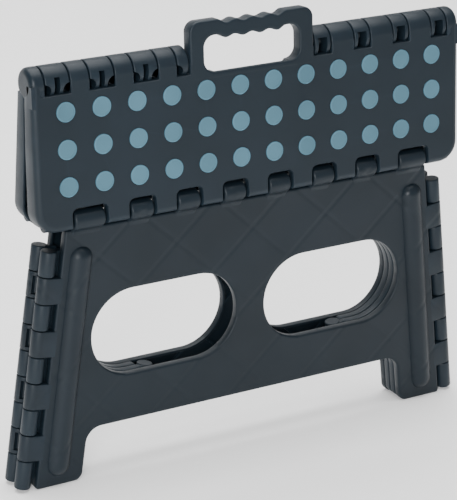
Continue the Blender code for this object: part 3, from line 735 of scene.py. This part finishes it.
def lattice(bm, region, depth, place):
    """Diagonal ribs inside a region with holes."""
    for sign in (-1, 1):
        bars = bmesh.new()
        ahead = Vector((math.cos(LATTICE_ANGLE), sign * math.sin(LATTICE_ANGLE)))
        aside = Vector((-ahead.y, ahead.x))
        for k in range(-8, 9):
            middle = aside * (k * LATTICE_PITCH)
            corners = [middle + ahead * a + aside * b
                       for a, b in ((-420, -RIB), (420, -RIB), (420, RIB), (-420, RIB))]
            loft(bars, [outside(corners)], [(min(depth), 0, 0), (max(depth), 0, 0)], place)
        space = bmesh.new()
        loft(space, [[(point.x, point.y, 0.0) for point in loop] for loop in region],
             [(min(depth) - 1, 0, 0), (max(depth) + 1, 0, 0)], place)
        merge(bm, boolean(bars, space, "INTERSECT"))


def leg(name, body, nodes, back):
    place = front_place(back)
    bm = bmesh.new()
    loops = [leg_outline(), hole(hole_outline(-1)), hole(hole_outline(1))]
    inward = [(LEG_FACE_Y - depth, rounding, wall)
              for depth, rounding, wall in tray(LEG_ROUND, LEG_FACE_Y - SKIRT_Y - GAP)]
    loft(bm, loops, inward, place)
    region = [ring(loop, [WALL - 0.4] * len(loop)) for loop in loops]
    lattice(bm, region, (SKIRT_Y + 1.6, LEG_FACE_Y - PLATE + 0.5), place)

    # Knuckles of the outer hinge, which run out of the face in a fillet
    section = leg_knuckle_section()
    for a, b in outer_spans():
        loft(bm, [outside(section)], slab(a, b, 2.2, 4), lambda y, x, z: place(x, y, z))

    # Knuckles of the corner hinges, flush with the face and cored from the inside
    knuckles, windows = bmesh.new(), bmesh.new()
    section = [(-12, SKIRT_Y + 0.5), (-12, LEG_FACE_Y + PROUD), (-0.6, LEG_FACE_Y + PROUD)]
    section += arc((0, CORNER_AXIS_Y), CORNER_R + PROUD, 90, -150)
    for side in (-1, 1):
        leaning = end_place(side, back)
        for a, b in corner_spans()[1::2]:
            loft(knuckles, [outside(section)], slab(a + GAP, b - GAP, 0.6), leaning)
            loop = outside([(-0.4, -1.0), (4.9, -1.0), (4.9, 6.0), (-0.4, 6.0)])
            loft(windows, [loop], [(a + 3.2, 0, 0), (b - 3.2, 0, 0)], leaning)
    merge(bm, boolean(knuckles, windows))
    for side in (-1, 1):
        ridge(bm, side, place)
    return piece(name, bm, body, nodes, shaded_leg_plastic)


def leg_knuckle_section():
    """(y, z) section of a leg's outer knuckle, which runs out of the face in a fillet."""
    axis = Vector((OUTER_AXIS.y, OUTER_AXIS.z))
    reach = LEG_FACE_Y - 0.1
    aside = reach + KNUCKLE_FILLET - axis.x
    drop = math.sqrt((OUTER_R + KNUCKLE_FILLET) ** 2 - aside ** 2)
    middle = axis + Vector((aside, -drop))
    meet = math.degrees(math.atan2(drop, aside))
    section = [(reach, middle.y - 1.0)]
    section += arc(middle, KNUCKLE_FILLET, 180, 180 - meet)[:-1]
    section += arc(axis, OUTER_R, -meet, 200)
    return section + [(SKIRT_Y + 0.6, 214.0), (SKIRT_Y + 0.6, 203.0)]


def ridge(bm, side, place):
    """The half-round ridge that stiffens each edge of the leg."""
    floor = RIDGE_R - RIDGE_HEIGHT
    half = math.sqrt(RIDGE_R ** 2 - floor ** 2)
    ends = [Vector((side * (RIDGE_X - RIDGE_SLOPE * z), z)) for z in RIDGE_Z]
    ahead = (ends[1] - ends[0]).normalized()
    turn = math.degrees(math.atan2(ahead.y, ahead.x))
    loop = arc(ends[1], half, turn - 90, turn + 90) + arc(ends[0], half, turn + 90, turn + 270)
    levels = []
    for k in range(12):
        radius = 0.5 + (half - 0.5) * math.sin(math.pi / 2 * k / 11)
        levels.append((LEG_FACE_Y + math.sqrt(RIDGE_R ** 2 - radius ** 2) - floor,
                       half - radius, 0))
    levels.append((LEG_FACE_Y - 1, 0, 0))
    loft(bm, [outside(loop)], levels, place)


# End panels

def end_outline(side):
    slope = math.tan(AXIS_LEAN)
    sine, cosine = math.sin(AXIS_LEAN), math.cos(AXIS_LEAN)
    edge = MIDDLE_R + 0.6 - END_SPAN

    def crown(out):
        return (CORNER_AXIS.x - CROWN * sine + out * cosine, CROWN * cosine + out * sine)

    corners = [(edge_x(END_LIFT, -LEG_EDGE), END_LIFT, 2.0),
               (*crown(-LEG_EDGE), 2.0), (*crown(edge), 2.0),
               (edge_x(HOLE_Z[1], edge), HOLE_Z[1], 3.0), (HOLE_X[1], HOLE_Z[1], HOLE_R),
               (HOLE_X[1], HOLE_Z[0], HOLE_R), (edge_x(HOLE_Z[0], edge), HOLE_Z[0], 3.0),
               (edge_x(ARCH_Z, edge), ARCH_Z, 3.0),
               (FOOT_INNER_X - ARCH_Z * slope, ARCH_Z, ARCH_R),
               (FOOT_INNER_X, END_LIFT, FOOT_R)]
    return outside([(side * x, z, radius) for x, z, radius in corners])


def middle_spans(back):
    """Spans of the middle hinge: outer ones on the front half, the middle one on the rear."""
    rise = END_SPAN * math.sin(AXIS_LEAN)

    def along(z):
        return (z + rise) / math.cos(AXIS_LEAN)

    spans = []
    for low, high in ((along(ARCH_Z) + 1.0, along(HOLE_Z[0]) - 0.6),
                      (along(HOLE_Z[1]) + 2.0, CROWN - 1.0)):
        third = (high - low) / 3
        if back < 0:
            spans += [(low, low + third - GAP), (high - third + GAP, high)]
        else:
            spans.append((low + third + GAP, high - third - GAP))
    return spans


def end_panel(name, body, nodes, side, back):
    place, leaning = front_place(back), end_place(side, back)
    bm = bmesh.new()
    outline = end_outline(side)
    outward = [(GAP + depth, rounding, wall)
               for depth, rounding, wall in tray(1.0, SKIRT_Y - 2 * GAP)]
    loft(bm, [outline], outward, place)
    lattice(bm, [ring(outline, [WALL - 0.4] * len(outline))],
            (GAP + PLATE - 0.5, SKIRT_Y - 1.6), place)

    # Closed barrels of the corner hinge, on arms from the panel
    arm = [(-12, 2.9), (-5.0, 2.9), (0, 2.6), (0, 7.0), (-12, 6.8)]
    for a, b in corner_spans()[0::2]:
        loft(bm, [outside(circle(0, CORNER_AXIS_Y, CORNER_R, 10))],
             slab(a + GAP, b - GAP, 1.0), leaning)
        loft(bm, [outside(arm)], slab(max(a, 7.0) + 1.0, b - 1.0, 0.5), leaning)
    for a, b in middle_spans(back):
        loft(bm, [outside(circle(-END_SPAN, 0, MIDDLE_R, 12))], slab(a, b, 0.7), leaning)
        arm_loop = [(-END_SPAN, GAP + 0.4), (MIDDLE_R + 3.5 - END_SPAN, GAP + 0.4),
                    (MIDDLE_R + 3.5 - END_SPAN, MIDDLE_R - 0.8), (-END_SPAN, MIDDLE_R - 0.5)]
        loft(bm, [outside(arm_loop)], slab(a + 0.6, b - 0.6, 0.4), leaning)
    return piece(name, bm, body, nodes, end_plastic)


def pin(node_name, body):
    """A smooth rod on the axis of the plain one it stands for."""
    low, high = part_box(node_name)
    radius = PIN_RADII[node_name.split("_")[0]]
    leaning = node_name.startswith(("corner", "mid"))
    sides = (low.x, high.x) if low.x + high.x < 0 or not leaning else (high.x, low.x)
    if leaning:
        inset = radius * MM * math.cos(AXIS_LEAN)
        top_x = sides[1] + math.copysign(inset, sides[1])
        foot_x = sides[0] - math.copysign(inset, sides[0])
        ends = (Vector((foot_x, (low.y + high.y) / 2, low.z)),
                Vector((top_x, (low.y + high.y) / 2, high.z)))
    else:
        middle = (low + high) / 2
        ends = (Vector((low.x, middle.y, middle.z)), Vector((high.x, middle.y, middle.z)))
    start, end = ends[0] / MM, ends[1] / MM
    turn = (end - start).to_track_quat("Z", "Y").to_matrix()

    def place(a, along, b):
        return start + turn @ Vector((a, b, along))

    bm = bmesh.new()
    loft(bm, [outside(circle(0, 0, radius, 15))], slab(0, (end - start).length, 0.5, 2), place)
    return piece("rod_" + node_name, bm, body, [node_name], pin_plastic)


# Build the pieces

top_half("top_shell_front", "top_front", ["top_front_panel"], -1, True)
top_half("top_shell_rear", "top_rear", ["top_rear_panel"], 1, False)
for row, label in ((1, "upper"), (0, "middle"), (-1, "lower")):
    grip_row("dots_front_" + label, "top_front", "grip_row_front_" + label, -1, dots_of(row))
for row, label, sign in ((1, "upper_left", -1), (1, "upper_right", 1), (0, "middle", 0),
                         (-1, "lower", 0)):
    chosen = [dot for dot in dots_of(row, WELL_HALF if sign else 0)
              if sign == 0 or dot[0] * sign > 0]
    grip_row("dots_rear_" + label, "top_rear", "grip_row_rear_" + label, 1, chosen)
leg("leg_shell_front", "leg_front", ["leg_front_panel"], -1)
leg("leg_shell_rear", "leg_rear", ["leg_rear_panel"], 1)
for side, label in ((-1, "left"), (1, "right")):
    for back, where in ((-1, "front"), (1, "rear")):
        end_panel(f"end_shell_{label}_{where}", f"end_{label}_{where}",
                  [f"end_panel_{label}_{where}"], side, back)
    pin("centre_pin_" + label, "top_front")
    for where in ("front", "rear"):
        pin(f"corner_pin_{where}_{label}", "leg_" + where)
    for where in ("lower", "upper"):
        pin(f"mid_pin_{label}_{where}", f"end_{label}_front")
for where in ("front", "rear"):
    pin("outer_pin_" + where, "leg_" + where)


# Floor, light and camera

def stage():
    """A pale floor that curves up into a backdrop far behind."""
    bm = bmesh.new()
    profile = [(-4.0, 0.0), (2.2, 0.0)]
    profile += [(point.x, point.y) for point in arc((2.2, 1.6), 1.6, -90, 0, 6)[1:]]
    profile.append((3.8, 6.0))
    rows = [[bm.verts.new((x, y, z - 0.0001)) for y, z in profile] for x in (-7.0, 7.0)]
    for i in range(len(profile) - 1):
        bm.faces.new((rows[0][i], rows[1][i], rows[1][i + 1], rows[0][i + 1]))
    floor = as_object(bm, "floor")
    floor.data.shade_smooth()
    made = bpy.data.materials.new("pale_floor")
    made.use_nodes = True
    shader = made.node_tree.nodes["Principled BSDF"]
    shader.inputs["Base Color"].default_value = (0.92, 0.92, 0.92, 1)
    shader.inputs["Roughness"].default_value = 0.8
    shader.inputs["Emission Color"].default_value = (1, 1, 1, 1)
    shader.inputs["Emission Strength"].default_value = 0.12
    floor.data.materials.append(made)


def area_light(name, location, target, size, power):
    lamp = bpy.data.lights.new(name, "AREA")
    lamp.shape = "RECTANGLE"
    lamp.size, lamp.size_y = size
    lamp.energy = power
    made = bpy.data.objects.new(name, lamp)
    made.location = location
    made.rotation_euler = (Vector(target) - Vector(location)).to_track_quat("-Z", "Y").to_euler()
    bpy.context.scene.collection.objects.link(made)


stage()
area_light("key", (-1.55, -1.95, 0.95), (0, 0, 0.18), (0.7, 1.2), 66)
area_light("fill", (1.4, -2.2, 1.4), (0, 0, 0.15), (1.6, 1.6), 5)
area_light("over", (0.2, 0.6, 3.0), (0.2, 0.6, 0), (3.4, 3.4), 210)

world = bpy.data.worlds.new("studio")
world.use_nodes = True
world.node_tree.nodes["Background"].inputs["Color"].default_value = (1, 1, 1, 1)
world.node_tree.nodes["Background"].inputs["Strength"].default_value = 0.25
bpy.context.scene.world = world

lens = bpy.data.cameras.new("camera")
lens.lens = CAMERA_LENS
camera = bpy.data.objects.new("camera", lens)
camera.matrix_world = (Matrix.Translation(CAMERA_AT)
                       @ Matrix.Rotation(-CAMERA_HEADING, 4, "Z")
                       @ Matrix.Rotation(math.pi / 2 - CAMERA_PITCH, 4, "X")
                       @ Matrix.Rotation(CAMERA_ROLL, 4, "Z"))
bpy.context.scene.collection.objects.link(camera)
bpy.context.scene.camera = camera

bpy.context.view_layer.update()
